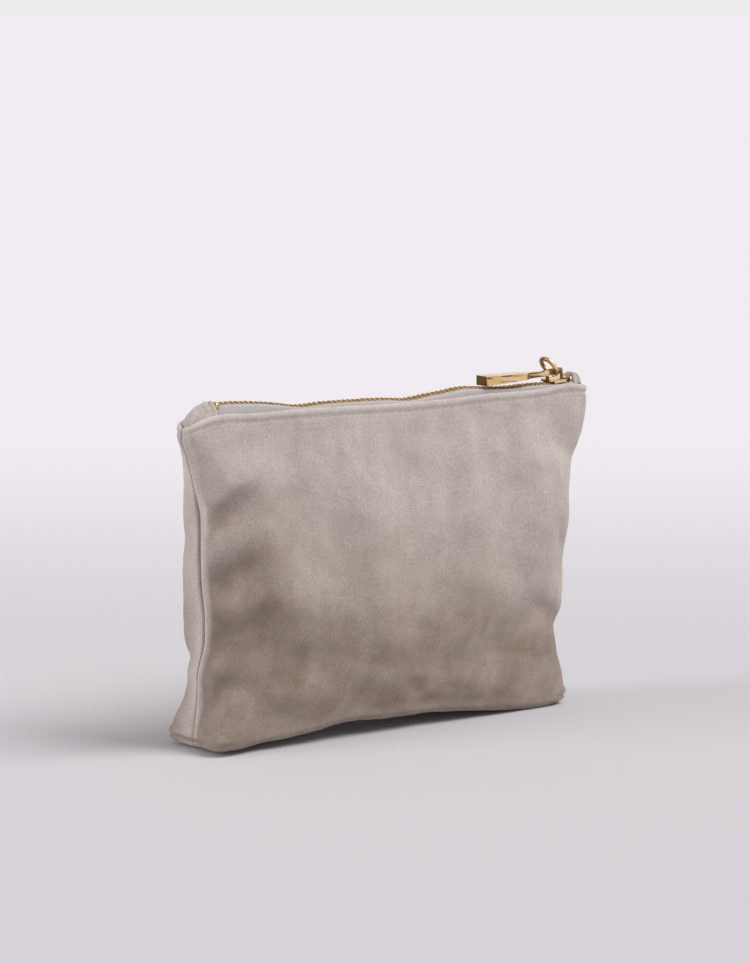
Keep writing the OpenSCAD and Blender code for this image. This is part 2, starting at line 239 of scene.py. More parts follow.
# the single folds of each side: x, z, turn, length, width, depth
FOLDS = {-1: [
    (-90, 102, 38, 13, 4.6, -3.6), (-86, 111, 38, 12, 6.0, 1.3), (-90, 90, 30, 11, 5.5, 1.6),
    (-88, 74, 34, 13, 4.6, -3.4), (-83, 63, 34, 12, 5.5, 1.9), (-91, 84, 20, 7, 4, 0.8),
    (-86, 49, 38, 14, 4.6, -3.4), (-79, 56, 35, 14, 6, 1.0), (-90, 25, 60, 9, 4.6, -2.6),
    (-86, 12, 40, 10, 7, 2.2), (-82, 36, 30, 12, 5, 1.2), (6, 13, -50, 15, 5, -1.3),
    (-66, 22, 10, 22, 9, 0.9), (95, 112, -35, 12, 4.5, -1.3), (92, 72, -60, 12, 4.5, -1.4),
    (88, 38, -35, 16, 5, -1.9), (84, 52, -35, 16, 7, 0.7), (90, 14, -40, 9, 7, 1.2),
    (30, 36, 15, 30, 9, -0.9), (-20, 62, -8, 40, 14, 1.1), (50, 96, 6, 34, 15, 1.0),
    (-88, 127, 15, 12, 5, -1.2), (-40, 96, -30, 26, 10, -0.7),
], 1: [
    (-90, 96, 40, 14, 5, -1.8), (-86, 44, 35, 16, 5, -2.2), (-80, 55, 35, 15, 6, 0.8),
    (90, 92, -40, 14, 5, -2.0), (87, 42, -35, 16, 5, -2.3), (-90, 12, 40, 9, 7, 1.3),
    (90, 12, -40, 9, 7, 1.3), (-20, 30, -14, 30, 8, -0.9), (36, 84, 10, 36, 12, 0.9),
    (-40, 100, -12, 34, 12, -0.7), (60, 22, 12, 22, 7, -0.8), (96, 124, 10, 10, 5, 0.8),
]}


def all_folds(x, z, side):
    return sum(fold(x, z, *f) for f in FOLDS[side])


def corner_part(near):
    """1 on the boxed corner's own seam, fading out past its ends."""
    return step(-near, -CORNER_REACH - 6, -CORNER_REACH)


def relief(x, z, arc, run, side):
    """How far the suede lies outside the plain form: folds, side seam, corner seam and hem."""
    near = np.minimum(arc, run - arc)            # distance round the bag from a side seam
    total = all_folds(x, z, side)
    total = total + 0.45 * ripple(x, z, 21 + side, 46) + 0.16 * ripple(x, z, 41 + side, 17)
    total = total * step(near, 0.5, 7)           # both sides meet at the seams
    seam_up = step(z, 3, 9)
    ridge = 0.75 * bump(near, 1.5, 0.95) if side < 0 else 0.15 * bump(near, 2.2, 1.2)
    total = total + seam_up * (ridge - 0.55 * bump(near, 0, 0.45))
    corner = corner_part(near)
    total = total + corner * (-1.2 * bump(z, CREASE_Z, 0.6) + 0.4 * bump(z, CREASE_Z + 2.2, 1.4)
                              - 0.5 * (1 - step(z, CREASE_Z - 2.2, CREASE_Z - 0.4)))
    hem = EDGE_Z - z                             # the stitched hem along the mouth
    return (total + 0.35 * bump(hem, 0.6, 1.4) - 0.32 * bump(hem, STITCH_DROP, 0.55)
            - 0.1 * step(hem, 6, 9) + 0.08 * ripple(x, z, 61, 6) * step(near, 0.5, 5))


def section(z, side, ends, spread):
    """Columns of one level section from the left side seam round to the right one."""
    angle = np.linspace(-0.7, math.pi, 1601)
    roll = EDGE_ROLL * max(0, 1 - z / EDGE_ROLL_Z) ** 2
    a = half_w(z) - roll
    d = half_d(z) - roll
    power = 2 / squareness(z)
    x = -a * np.sign(np.cos(angle)) * np.abs(np.cos(angle)) ** power
    y = side * d * np.sign(np.sin(angle)) * np.abs(np.sin(angle)) ** power
    spread_out = np.where(x < 0, 6.5, 3.5) * flare(z, x, y)
    x = x + np.sign(x) * spread_out
    y = y + np.sign(y) * spread_out * np.where(y < 0, 0.85, 0.5) + lean_at(z)
    gone = np.concatenate([[0], np.cumsum(np.hypot(np.diff(x), np.diff(y)))])
    gone -= np.interp(0, angle, gone) - side * seam_shift(z)
    run = gone[-1]
    arcs = np.concatenate([ends, np.linspace(ends[-1], run - ends[-1], spread)[1:-1],
                           run - ends[::-1]])
    return np.interp(arcs, gone, x), np.interp(arcs, gone, y), arcs, run


SEAM_COLUMNS = np.array([0, 0.35, 0.7, 1.05, 1.4, 1.75, 2.15, 2.6, 3.2, 4.0, 5.0])
PANEL_ROWS = np.concatenate([np.linspace(0, 10, 21), np.linspace(10, 131, 84)[1:],
                             np.linspace(131, EDGE_Z, 22)[1:]])
FLOOR_ROWS = 9                                   # from the bottom edge in to the middle seam


def form(side, rows, spread, ends=SEAM_COLUMNS):
    """The bag's outer surface on one side as a grid, with each point's arc, level and run."""
    levels = [section(z, side, ends, spread) for z in rows]
    x = np.array([lv[0] for lv in levels])
    y = np.array([lv[1] for lv in levels])
    arc = np.array([lv[2] for lv in levels])
    run = np.array([[lv[3]] for lv in levels]) + 0 * arc
    level = rows[:, None] + 0 * x
    near = np.minimum(arc, run - arc)
    x = x + np.sign(x) * side_wave(level, x < 0) * np.exp(-(near / 9) ** 2)
    z = level + edge_dz(x, near, side) * step(level, 84, EDGE_Z) \
        + arch_at(x, side) * (1 - step(level, 0, 44))
    if side in SETTLED:
        moved = sample(SETTLED[side], level / EDGE_Z, arc / run)
        x, y, z = x + moved[:, :, 0], y + moved[:, :, 1], z + moved[:, :, 2]
    return x, y, z, arc, level, run


def sample(field, up, along):
    """Smooth (Catmull-Rom) look-up in a grid of vectors, with both shares from 0 to 1."""
    def four(share, count):
        place = np.clip(share, 0, 1) * (count - 1)
        first = np.minimum(place.astype(int), count - 2)
        t = place - first
        weights = ((-t + 2 * t ** 2 - t ** 3) / 2, (2 - 5 * t ** 2 + 3 * t ** 3) / 2,
                   (t + 4 * t ** 2 - 3 * t ** 3) / 2, (t ** 3 - t ** 2) / 2)
        return [(np.clip(first - 1 + k, 0, count - 1), weights[k]) for k in range(4)]

    rows, cols = field.shape[:2]
    total = 0
    for i, wi in four(up, rows):
        for j, wj in four(along, cols):
            total = total + (wi * wj)[:, :, None] * field[i, j]
    return total


def settle(side):
    """Fills one side out as slack cloth held at its seams, base and mouth."""
    rows = np.linspace(0, EDGE_Z, CLOTH_ROWS)
    x, y, z, arc, _, run = form(side, rows, CLOTH_COLUMNS, np.array([0.0]))
    points = np.stack([x, y, z], axis=2)
    out = outward(points, side)
    near = np.minimum(arc, run - arc)
    creased = 0.35 * all_folds(x, z, side) * step(near, 0.5, 7)
    start = points + out * creased[:, :, None]
    count, cols = x.shape
    mesh = bpy.data.meshes.new("settling")
    mesh.from_pydata((start.reshape(-1, 3) * MM).tolist(), [],
                     grid_faces(count, cols) if side < 0 else flipped(grid_faces(count, cols)))
    sheet = bpy.data.objects.new("settling", mesh)
    bpy.context.scene.collection.objects.link(sheet)
    held = np.ones((count, cols))
    held[2:-2, 1:-1] = 0
    group = sheet.vertex_groups.new(name="held")
    group.add([int(i) for i in np.flatnonzero(held.ravel())], 1.0, "REPLACE")
    cloth = sheet.modifiers.new("cloth", "CLOTH")
    setting = cloth.settings
    setting.quality = 8
    setting.mass = 0.25
    setting.tension_stiffness = setting.compression_stiffness = 25
    setting.shear_stiffness = 12
    setting.bending_stiffness = 4.0
    setting.vertex_group_mass = "held"
    setting.shrink_min = -0.011                  # the cloth is cut a little full
    setting.use_pressure = True
    setting.uniform_pressure_force = 0.9
    setting.effector_weights.gravity = 0.35
    scene = bpy.context.scene
    for frame_number in range(1, CLOTH_FRAMES + 1):
        scene.frame_set(frame_number)
    depsgraph = bpy.context.evaluated_depsgraph_get()
    rest = sheet.evaluated_get(depsgraph).to_mesh()
    flat = np.empty(count * cols * 3)
    rest.vertices.foreach_get("co", flat)
    moved = flat.reshape(count, cols, 3) / MM - start
    bpy.data.objects.remove(sheet)
    bpy.data.meshes.remove(mesh)
    scene.frame_set(1)
    moved[1:-1, 1:-1] = (4 * moved[1:-1, 1:-1] + moved[2:, 1:-1] + moved[:-2, 1:-1]
                         + moved[1:-1, 2:] + moved[1:-1, :-2]) / 8
    length = np.linalg.norm(moved, axis=2, keepdims=True)
    print(f"settled side {side}: {length.max():.2f} mm at most, {length.mean():.2f} on average")
    return moved * CLOTH_CAP / np.maximum(length, CLOTH_CAP)


# ---------------------------------------------------------------- mesh helpers

def make_mesh(name, points, faces, material, **attributes):
    """A smooth mesh from points in mm; attributes are per point, as numbers or vectors."""
    mesh = bpy.data.meshes.new(name)
    mesh.from_pydata((np.asarray(points) * MM).tolist(), [], [list(map(int, f)) for f in faces])
    mesh.validate()
    mesh.materials.append(material)
    mesh.polygons.foreach_set("use_smooth", [True] * len(mesh.polygons))
    for key, value in attributes.items():
        value = np.asarray(value, np.float32)
        if value.ndim == 2:
            mesh.attributes.new(key, "FLOAT_VECTOR", "POINT").data.foreach_set(
                "vector", value.ravel())
        else:
            mesh.attributes.new(key, "FLOAT", "POINT").data.foreach_set("value", value)
    mesh.update()
    obj = bpy.data.objects.new(name, mesh)
    bpy.context.scene.collection.objects.link(obj)
    return obj


def grid_faces(rows, cols, wrap_rows=False, wrap_cols=False, start=0):
    faces = []
    for r in range(rows if wrap_rows else rows - 1):
        for c in range(cols if wrap_cols else cols - 1):
            a, b = r * cols + c, r * cols + (c + 1) % cols
            e, f = ((r + 1) % rows) * cols + c, ((r + 1) % rows) * cols + (c + 1) % cols
            faces.append((start + a, start + b, start + f, start + e))
    return faces


def shell_faces(count, cols):
    """Faces of a folded sheet: rows run out and back, and both side edges are closed."""
    faces = grid_faces(count, cols, wrap_rows=True)
    for i in range(count // 2 - 1):
        j = count - 1 - i
        faces.append((i * cols, (i + 1) * cols, (j - 1) * cols, j * cols))
        faces.append(tuple(k * cols + cols - 1 for k in (j, j - 1, i + 1, i)))
    return faces


def tube_faces(rings, around, start=0):
    """Faces of a tube of rings of points, with a cap on each end."""
    faces = grid_faces(rings, around, wrap_cols=True, start=start)
    faces.append(tuple(start + k for k in range(around - 1, -1, -1)))
    last = start + (rings - 1) * around
    faces.append(tuple(last + k for k in range(around)))
    return faces


def flipped(faces):
    return [f[::-1] for f in faces]


def set_bend(obj):
    """Bakes a piece's placement into its mesh."""
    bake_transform(obj)
    return obj


def opening(x, z):
    """Share of the mouth's motion for a point of the cloth, by its place along the mouth and its
    height.
    """
    along = np.cos(np.clip(np.abs(x) / MOUTH_REACH, 0, 1) * math.pi / 2) ** 1.9
    return along * step(z, 40, 118)


# ---------------------------------------------------------------- materials

class Nodes:
    """A short way to write a node material."""

    def __init__(self, name):
        self.material = bpy.data.materials.new(name)
        self.material.use_nodes = True
        self.tree = self.material.node_tree
        self.shader = self.tree.nodes["Principled BSDF"]

    def add(self, kind, inputs=(), **settings):
        node = self.tree.nodes.new(kind)
        for key, value in settings.items():
            setattr(node, key, value)
        for key, value in dict(inputs).items():
            self.feed(node.inputs[key], value)
        return node

    def feed(self, socket, value):
        if isinstance(value, bpy.types.NodeSocket):
            self.tree.links.new(value, socket)
        else:
            socket.default_value = value

    def set(self, **inputs):
        for key, value in inputs.items():
            self.feed(self.shader.inputs[key.replace("_", " ")], value)

    def math(self, kind, a, b=0.0):
        node = self.add("ShaderNodeMath", operation=kind)
        self.feed(node.inputs[0], a)
        self.feed(node.inputs[1], b)
        return node.outputs[0]

    def object_mm(self):
        """The place on the piece, in mm."""
        return self.add("ShaderNodeMapping", {0: self.add("ShaderNodeTexCoord").outputs["Object"],
                                              "Scale": (TEX_SCALE,) * 3}).outputs[0]

    def mix(self, share, a, b, kind="MIX"):
        node = self.add("ShaderNodeMix", data_type="RGBA", blend_type=kind)
        self.feed(node.inputs[0], share)
        self.feed(node.inputs[6], a)
        self.feed(node.inputs[7], b)
        return node.outputs[2]

    def noise(self, place, scale, detail=3.0, rough=0.55, stretch=None):
        if stretch is not None:
            place = self.add("ShaderNodeMapping", {0: place, "Scale": stretch}).outputs[0]
        return self.add("ShaderNodeTexNoise", {"Vector": place, "Scale": scale, "Detail": detail,
                                               "Roughness": rough}).outputs[0]

    def spread(self, value, low, high, to_low=0.0, to_high=1.0):
        return self.add("ShaderNodeMapRange", {"Value": value, "From Min": low, "From Max": high,
                                               "To Min": to_low, "To Max": to_high}).outputs[0]

    def attribute(self, name):
        node = self.add("ShaderNodeAttribute")
        node.attribute_name = name
        return node

    def bumps(self, *layers):
        """Stacks (height, strength, depth in mm) layers into one normal."""
        normal = None
        for height, strength, depth in layers:
            node = self.add("ShaderNodeBump", {"Height": height, "Strength": strength,
                                               "Distance": depth * MM})
            if normal is not None:
                self.tree.links.new(normal, node.inputs["Normal"])
            normal = node.outputs[0]
        self.feed(self.shader.inputs["Normal"], normal)


def srgb(r, g, b):
    """A colour written as 0 to 255 screen values, in linear light."""
    values = [v / 255 for v in (r, g, b)]
    return tuple(v / 12.92 if v <= 0.04045 else ((v + 0.055) / 1.055) ** 2.4
                 for v in values) + (1.0,)


def painted_shade_amount(x, level, near, side):
    """Share of painted shade on the suede: towards the base, in the hollows and valleys of the
    folds, along the back's side seam and in the boxed corner's crease.
    """
    # painted shade, darker towards the base, in fold hollows and valleys, along the back's seam
    # and in the corner's crease
    low = 1.12 * (1 - step(level, 12, 118)) * (1 - 0.55 * step(x, 10, 92) * step(level, 18, 58))
    hollows = 0.5 * bump(x, -82, 30) * step(level, 26, 50) * (1 - step(level, 94, 130))
    dips = -0.09 * all_folds(x, level, side)
    total = low + (hollows if side < 0 else 0) + dips
    total = total * (step(near, 1.7, 4.5) if side < 0 else step(near, 2, 16))
    total = total + (0.6 * bump(near, 0.6, 0.7) if side > 0 else 0)
    return np.clip(total + 1.4 * corner_part(near) * bump(level, CREASE_Z, 0.8), 0, 1)


def suede_material():
    """Suede: brushed nap in patches, a fine fibre grain, paler edges that are partly wear and
    partly painted highlight, and painted shade from the shade attribute.
    """
    n = Nodes("suede")
    place = n.attribute("pattern").outputs["Vector"]
    clouds = n.noise(place, 0.03, 3, 0.5, stretch=(1, 1.5, 1))
    strokes = n.noise(place, 0.16, 4, 0.6, stretch=(1, 0.5, 1))
    mottle = n.noise(place, 0.75, 3, 0.65)
    grain = n.noise(place, 2.0, 2, 0.6)
    fibre = n.noise(place, 5.5, 2, 0.7, stretch=(1, 0.4, 1))
    dark, mid, pale = srgb(166, 155, 148), srgb(184, 174, 167), srgb(201, 192, 186)
    tone = n.math("ADD", n.math("MULTIPLY", clouds, 0.26),
                  n.math("ADD", n.math("MULTIPLY", strokes, 0.22),
                         n.math("ADD", n.math("MULTIPLY", mottle, 0.34),
                                n.math("MULTIPLY", grain, 0.26))))
    low = n.mix(n.spread(tone, 0.40, 0.56), dark, mid)
    colour = n.mix(n.spread(tone, 0.54, 0.70), low, pale)
    # painted shade: the colour is multiplied darker where the shade attribute is high
    painted_shade_mix = n.math("MULTIPLY", n.attribute("shade").outputs["Fac"],
                     n.spread(n.noise(place, 0.05, 3, 0.55), 0.3, 0.7, 0.62, 1.0))
    colour = n.mix(painted_shade_mix, colour, n.mix(1.0, colour, srgb(176, 166, 153), "MULTIPLY"))
    # paler edges, partly wear and partly painted highlight on the seam ridge, the mouth's fold
    # and the tab's ridges
    worn = n.math("MULTIPLY", n.attribute("worn").outputs["Fac"],
                  n.spread(mottle, 0.25, 0.7, 0.45, 1.0))
    colour = n.mix(n.math("MULTIPLY", worn, 0.7), colour, srgb(205, 197, 190))
    n.set(Base_Color=colour, Roughness=n.spread(grain, 0.3, 0.7, 0.86, 0.98),
          Specular_IOR_Level=0.15, Sheen_Weight=0.32, Sheen_Roughness=0.5,
          Sheen_Tint=srgb(232, 224, 218))
    n.bumps((strokes, 0.35, 0.5), (mottle, 0.6, 0.35), (grain, 0.75, 0.16), (fibre, 0.35, 0.06))
    return n.material


def woven_material(name, warp, weft, pitch, sheen, depth):
    """Plain woven cloth: threads over and under each other at a pitch in mm."""
    n = Nodes(name)
    place = n.attribute("pattern").outputs["Vector"]
    split = n.add("ShaderNodeSeparateXYZ", {0: place})
    wander = n.noise(place, 0.4, 2)
    u = n.math("ADD", n.math("MULTIPLY", split.outputs[0], math.tau / pitch),
               n.math("MULTIPLY", wander, 1.2))
    v = n.math("ADD", n.math("MULTIPLY", split.outputs[1], math.tau / pitch),
               n.math("MULTIPLY", wander, -0.9))
    cross = n.math("MULTIPLY", n.math("SINE", u), n.math("SINE", v))
    height = n.math("ADD", n.math("MULTIPLY", n.math("ABSOLUTE", cross), 0.6),
                    n.math("MULTIPLY", cross, 0.25))
    slub = n.noise(place, 1.6, 3, 0.6, stretch=(0.3, 2.5, 1))
    colour = n.mix(n.spread(cross, -0.6, 0.6), warp, weft)
    colour = n.mix(n.spread(slub, 0.3, 0.75, 0.0, 0.45), colour,
                   tuple(0.72 * c for c in weft[:3]) + (1,))
    n.set(Base_Color=colour, Roughness=n.spread(slub, 0.2, 0.8, 0.62, 0.82),
          Specular_IOR_Level=0.3, Sheen_Weight=sheen, Sheen_Roughness=0.4)
    n.bumps((height, 0.6, depth), (slub, 0.3, depth * 0.6))
    return n.material


def thread_material():
    """Two-ply sewing thread, a little fuzzy."""
    n = Nodes("thread")
    place = n.object_mm()
    ply = n.add("ShaderNodeTexWave", {"Vector": place, "Scale": 1.6, "Distortion": 0.6},
                wave_type="BANDS", bands_direction="DIAGONAL").outputs[1]
    fuzz = n.noise(place, 4.0, 2)
    colour = n.mix(ply, srgb(184, 170, 158), srgb(214, 203, 194))
    n.set(Base_Color=n.mix(n.math("MULTIPLY", fuzz, 0.4), colour, srgb(170, 156, 145)),
          Roughness=0.7, Specular_IOR_Level=0.35, Sheen_Weight=0.3)
    n.bumps((ply, 0.5, 0.08), (fuzz, 0.2, 0.04))
    return n.material


def brass_material():
    """The teeth: antique brass, dark in its recesses and rubbed bright on its heads."""
    n = Nodes("antique_brass")
    place = n.object_mm()
    tone = n.attribute("tone").outputs["Fac"]
    stain = n.noise(place, 0.9, 3)
    rub = n.spread(n.add("ShaderNodeNewGeometry").outputs["Pointiness"], 0.48, 0.56)
    share = n.math("ADD", n.math("MULTIPLY", tone, 0.45), n.math("MULTIPLY", stain, 0.55))
    colour = n.mix(n.spread(share, 0.2, 0.75), srgb(74, 50, 16), srgb(158, 116, 48))
    colour = n.mix(n.math("MULTIPLY", rub, 0.45), colour, srgb(226, 184, 104))
    n.set(Base_Color=colour, Metallic=1.0, Roughness=n.spread(stain, 0.3, 0.7, 0.26, 0.5))
    n.bumps((n.noise(place, 3.0, 2), 0.25, 0.05))
    return n.material


def gold_material(name, roughness):
    """Pale gold plating: fine brushing, faint smudges and pits, with painted reflection and shade
    that darken the end faces, the undersides and a streak along the upright faces.
    """
    n = Nodes(name)
    place = n.object_mm()
    brush = n.noise(place, 1.2, 4, 0.6, stretch=(0.12, 3.0, 3.0))
    smudge = n.noise(place, 0.16, 3, 0.6)
    pits = n.noise(place, 1.7, 2, 0.4)
    streak = n.noise(place, 0.5, 3, 0.6, stretch=(0.14, 1.6, 1.6))
    faces = n.add("ShaderNodeSeparateXYZ", {0: n.add("ShaderNodeNewGeometry").outputs["Normal"]})
    # painted reflection and shade: end faces, undersides and a streak on the upright faces go
    # dark brown
    ends = n.spread(faces.outputs[0], -0.95, -0.6, 0.95, 0.0)
    below = n.spread(faces.outputs[2], -0.9, -0.3, 0.8, 0.0)
    upright = n.spread(faces.outputs[2], 0.2, 0.7, 1.0, 0.25)
    painted_reflection_mask = n.math("MULTIPLY", n.spread(streak, 0.48, 0.58, 0.0, 0.95), upright)
    painted_reflection_mask = n.math("MAXIMUM", n.math("MAXIMUM", painted_reflection_mask, ends), below)
    colour = n.mix(n.spread(smudge, 0.35, 0.7), srgb(255, 226, 172), srgb(240, 198, 132))
    colour = n.mix(n.spread(pits, 0.62, 0.78, 0.0, 0.35), colour, srgb(180, 138, 84))
    colour = n.mix(painted_reflection_mask, colour, srgb(92, 60, 20))
    rough = n.math("ADD", n.spread(smudge, 0.3, 0.75, roughness * 0.75, roughness * 1.35),
                   n.math("MULTIPLY", brush, 0.05))
    n.set(Base_Color=colour, Metallic=1.0, Roughness=rough, Anisotropic=0.35)
    n.bumps((brush, 0.08, 0.03), (pits, 0.06, 0.05))
    return n.material


SUEDE = suede_material()
LINING = woven_material("lining_cloth", srgb(214, 204, 192), srgb(200, 189, 176), 0.7, 0.25, 0.1)
TAPE = woven_material("zip_tape", srgb(200, 196, 196), srgb(184, 180, 181), 0.9, 0.2, 0.16)
THREAD = thread_material()
BRASS = brass_material()
GOLD = gold_material("gold_plating", 0.16)
SATIN_GOLD = gold_material("satin_gold", 0.3)


# ---------------------------------------------------------------- suede shells

def suede_shell(side):
    """The front or back of the bag: a folded-edge suede skin with its half of the base."""
    x, y, z, arc, level, run = form(side, PANEL_ROWS, 150)
    plain = np.stack([x, y, z], axis=2)
    out = outward(plain, side)
    outer = plain + out * relief(x, level, arc, run, side)[:, :, None]

    # the half of the base, from the bottom edge in to the middle seam
    share = np.linspace(0, 1, FLOOR_ROWS + 1)[1:, None]
    rim = outer[0]
    floor = np.stack([rim[:, 0] * (1 - 0.06 * share), rim[:, 1] * (1 - share),
                      rim[:, 2] + 0.9 * np.sin(share * math.pi / 2)
                      - 0.7 * bump(share, 1, 0.05)], axis=2)
    outer = np.concatenate([floor[::-1], outer])
    level = np.concatenate([np.zeros_like(floor[:, :, 0]), level])
    arc = np.concatenate([np.repeat(arc[:1], FLOOR_ROWS, 0), arc])
    run = np.concatenate([np.repeat(run[:1], FLOOR_ROWS, 0), run])

    outer[:, :, 2] = np.maximum(outer[:, :, 2], GROUND_GAP)
    n = outward(outer, side)
    thick = SUEDE_T + (HEM_T - SUEDE_T) * step(level, EDGE_Z - HEM_DROP - 1.5,
                                               EDGE_Z - HEM_DROP + 0.5)
    inner = outer - n * thick[:, :, None]
    lip = []                                     # the rounded fold along the mouth
    for turn in np.linspace(0, math.pi, 8)[1:-1]:
        middle = (outer[-1] + inner[-1]) / 2
        reach = (outer[-1] - inner[-1]) / 2
        lip.append(middle + reach * math.cos(turn)
                   + np.array([0, 0, HEM_T / 2]) * math.sin(turn))
    lip = np.array(lip)
    inner[:, :, 2] = np.maximum(inner[:, :, 2], 0.3)
    grid = np.concatenate([outer, lip, inner[::-1]])
    count, cols = grid.shape[:2]
    faces = shell_faces(count, cols)
    if side > 0:
        faces = flipped(faces)

    def thrice(values):
        """Values of the outer skin carried on over the lip and the inner skin."""
        return np.concatenate([values, np.repeat(values[-1:], len(lip), 0), values[::-1]])

    level3, arc3, run3 = thrice(level), thrice(arc), thrice(run)
    near = np.minimum(arc3, run3 - arc3)
    top = EDGE_Z - level3
    is_outer = np.concatenate([np.ones(outer.shape[:2]), np.ones(lip.shape[:2]),
                               np.zeros(inner.shape[:2])])
    # paler line on the front's side seam ridge and along the mouth's fold: partly wear, partly
    # painted highlight
    worn = is_outer * np.clip(
        0.9 * bump(near, 1.2, 0.6) * step(level3, 8, 14) * step(near, 0.4, 0.8) * (side < 0)
        + 0.9 * bump(top, 0, 0.6), 0, 1)
    pattern = np.stack([arc3 + (0 if side < 0 else 300), level3, 0 * arc3], axis=2)
    # the shade attribute carries the painted shade worked out for each point
    obj = make_mesh(f"{SIDE_NAME[side]}_suede", grid.reshape(-1, 3), faces, SUEDE,
                    pattern=pattern.reshape(-1, 3), worn=worn.ravel(),
                    shade=painted_shade_amount(grid[:, :, 0], level3, near, side).ravel())
    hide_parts(f"{SIDE_NAME[side]}_panel", f"{SIDE_NAME[side]}_panel_upper")
    set_bend(obj)


def lining_shell(side):
    """The lining cloth inside one side, hanging from the zip tape down to the base."""
    rows = np.concatenate([np.linspace(0, 8, 5), np.linspace(8, 133, 46)[1:]])
    x, y, z, arc, level, run = form(side, rows, 70)
    plain = np.stack([x, y, z], axis=2)
    out = outward(plain, side)
    slack = 2.5 + 0.5 * ripple(x, level, 81 + side, 22) + 0.35 * ripple(x, level, 91, 9)
    keep = relief(x, level, arc, run, side)
    sheet = plain + out * (np.minimum(keep, 0) - slack)[:, :, None]
    sheet[:, :, 2] += 1.6 * (1 - step(level, 0, 12))
    floor_rows = 5
    share = np.linspace(0, 1, floor_rows + 1)[1:, None]
    rim = sheet[0]
    floor = np.stack([rim[:, 0] * (1 - 0.03 * share), rim[:, 1] * (1 - share),
                      rim[:, 2] + 0.6 * share], axis=2)
    sheet = np.concatenate([floor[::-1], sheet])
    level = np.concatenate([np.zeros_like(floor[:, :, 0]), level])
    arc = np.concatenate([np.repeat(arc[:1], floor_rows, 0), arc])
    n = outward(sheet, side)
    grid = np.concatenate([sheet, (sheet - LINING_T * n)[::-1]])
    faces = shell_faces(*grid.shape[:2])
    if side > 0:
        faces = flipped(faces)
    level2 = np.concatenate([level, level[::-1]])
    arc2 = np.concatenate([arc, arc[::-1]])
    pattern = np.stack([arc2, level2, 0 * arc2], axis=2)
    obj = make_mesh(f"{SIDE_NAME[side]}_lining_cloth", grid.reshape(-1, 3), faces, LINING,
                    pattern=pattern.reshape(-1, 3))
    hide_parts(f"{SIDE_NAME[side]}_lining", f"{SIDE_NAME[side]}_lining_upper")
    set_bend(obj)


# ---------------------------------------------------------------- zip tape and teeth

def tape_outline():
    """Bead, flat and turned-down part of the tape, for the front: y out from the middle."""
    t = TAPE_T / 2
    upper = [(-TAPE_EDGE + 0.25, 0.1), (-TAPE_EDGE, 0.45), (-TAPE_EDGE - 0.45, 0.45),
             (-TAPE_EDGE - 0.9, t), (-2.8, t), (-3.5, t - 0.05)]
    for turn in np.linspace(80, 0, 5):
        a = math.radians(turn)
        upper.append((-TAPE_TURN + 0.35 - 0.65 * math.cos(a), -0.75 + 1.05 * math.sin(a)))
    upper += [(-TAPE_TURN - 0.4, -3.5), (-TAPE_TURN - 0.6, -TAPE_DROP)]
    lower = [(-TAPE_TURN, -TAPE_DROP), (-TAPE_TURN + 0.2, -3.5), (-TAPE_TURN + 0.3, -1.2),
             (-3.4, -t - 0.1), (-2.8, -t), (-TAPE_EDGE - 0.9, -t), (-TAPE_EDGE - 0.45, -0.45),
             (-TAPE_EDGE, -0.45), (-TAPE_EDGE + 0.25, -0.1)]
    return np.array(upper + lower)


def zip_z(x):
    """Height of the zip's middle at one place."""
    return ZIP_Z + float(zip_dz(np.array(float(x))))


def roof(x, y):
    """Height of the cloth across the mouth's ends: from hem to hem over the zip's line."""
    sign = -1 if x < 0 else 1
    reach, v = abs(x), min(1.0, abs(y) / ROOF_HALF)
    near = np.array(TOP_HALF_W - reach + 4.5 * v)
    edge = EDGE_Z - 0.3 + float(edge_dz(np.array(float(x)), near, -1 if y < 0 else 1))
    crest = zip_z(x) + 0.2
    off = min(1.0, max(0.0, (reach - TAB_END) / ROUND[sign] + 1))
    crest -= (crest - edge) * (1 - math.sqrt(1 - off ** 2))
    return edge + (crest - edge) * (1 - v ** ROOF_POWER[sign])


def tape_ring(x, outline, side):
    """The tape's outline at one place: flat on the zip, draped under the tabs at its ends."""
    draped = float(step(np.array(-x), 89.8, 91.8) + step(np.array(x), 92, 99))
    z = []
    for y, up in outline:
        flat = zip_z(x) + up
        under = roof(x, -side * y) - TAPE_SINK + (up if abs(y) < 3.2 else max(up, -4.0))
        z.append(flat + (under - flat) * draped)
    return np.stack([np.full(len(outline), x), MOUTH_Y - side * outline[:, 0], z], axis=1)


def zip_tape(side):
    """The woven tape of one side, with its beaded edge and its part behind the hem."""
    xs = np.linspace(*TAPE_SPAN, TAPE_CUTS)
    outline = tape_outline()
    points = np.concatenate([tape_ring(x, outline, side) for x in xs])
    girth = np.concatenate([[0], np.cumsum(np.hypot(*np.diff(outline, axis=0).T))])
    pattern = np.array([[[x, g, 0] for g in girth] for x in xs])
    obj = make_mesh(f"{SIDE_NAME[side]}_zip_tape", points,
                    flipped(tube_faces(len(xs), len(outline))), TAPE,
                    pattern=pattern.reshape(-1, 3))
    if side > 0:
        obj.data.flip_normals()
    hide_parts(f"{SIDE_NAME[side]}_tape", f"{SIDE_NAME[side]}_tape_ends")
    set_bend(obj)


def tooth_form():
    """One tooth about its own middle: jaws on the tape, a waist and a domed head."""
    around, drawn_t = 12, 0.98                   # the stations are drawn for this thickness
    # y, half height, half thickness
    stations = [(-TOOTH_ROOT, 0.62, 0.36), (-TOOTH_ROOT + 0.25, 0.98, 0.49),
                (-TAPE_EDGE - 0.7, 1.1, 0.49), (-TAPE_EDGE + 0.1, 1.08, 0.49),
                (-0.55, 0.86, 0.46), (0.1, 0.80, 0.44), (0.5, 0.72, 0.42),
                (TOOTH_TIP, 0.45, 0.30)]
    points = []
    for y, h, w in stations:
        w *= TOOTH_T / drawn_t
        for turn in range(around):
            a = math.tau * (turn + 0.5) / around
            c, s = math.cos(a), math.sin(a)
            points.append((w * np.sign(c) * abs(c) ** 0.45, y, h * np.sign(s) * abs(s) ** 0.5))
    return np.array(points), tube_faces(len(stations), around)


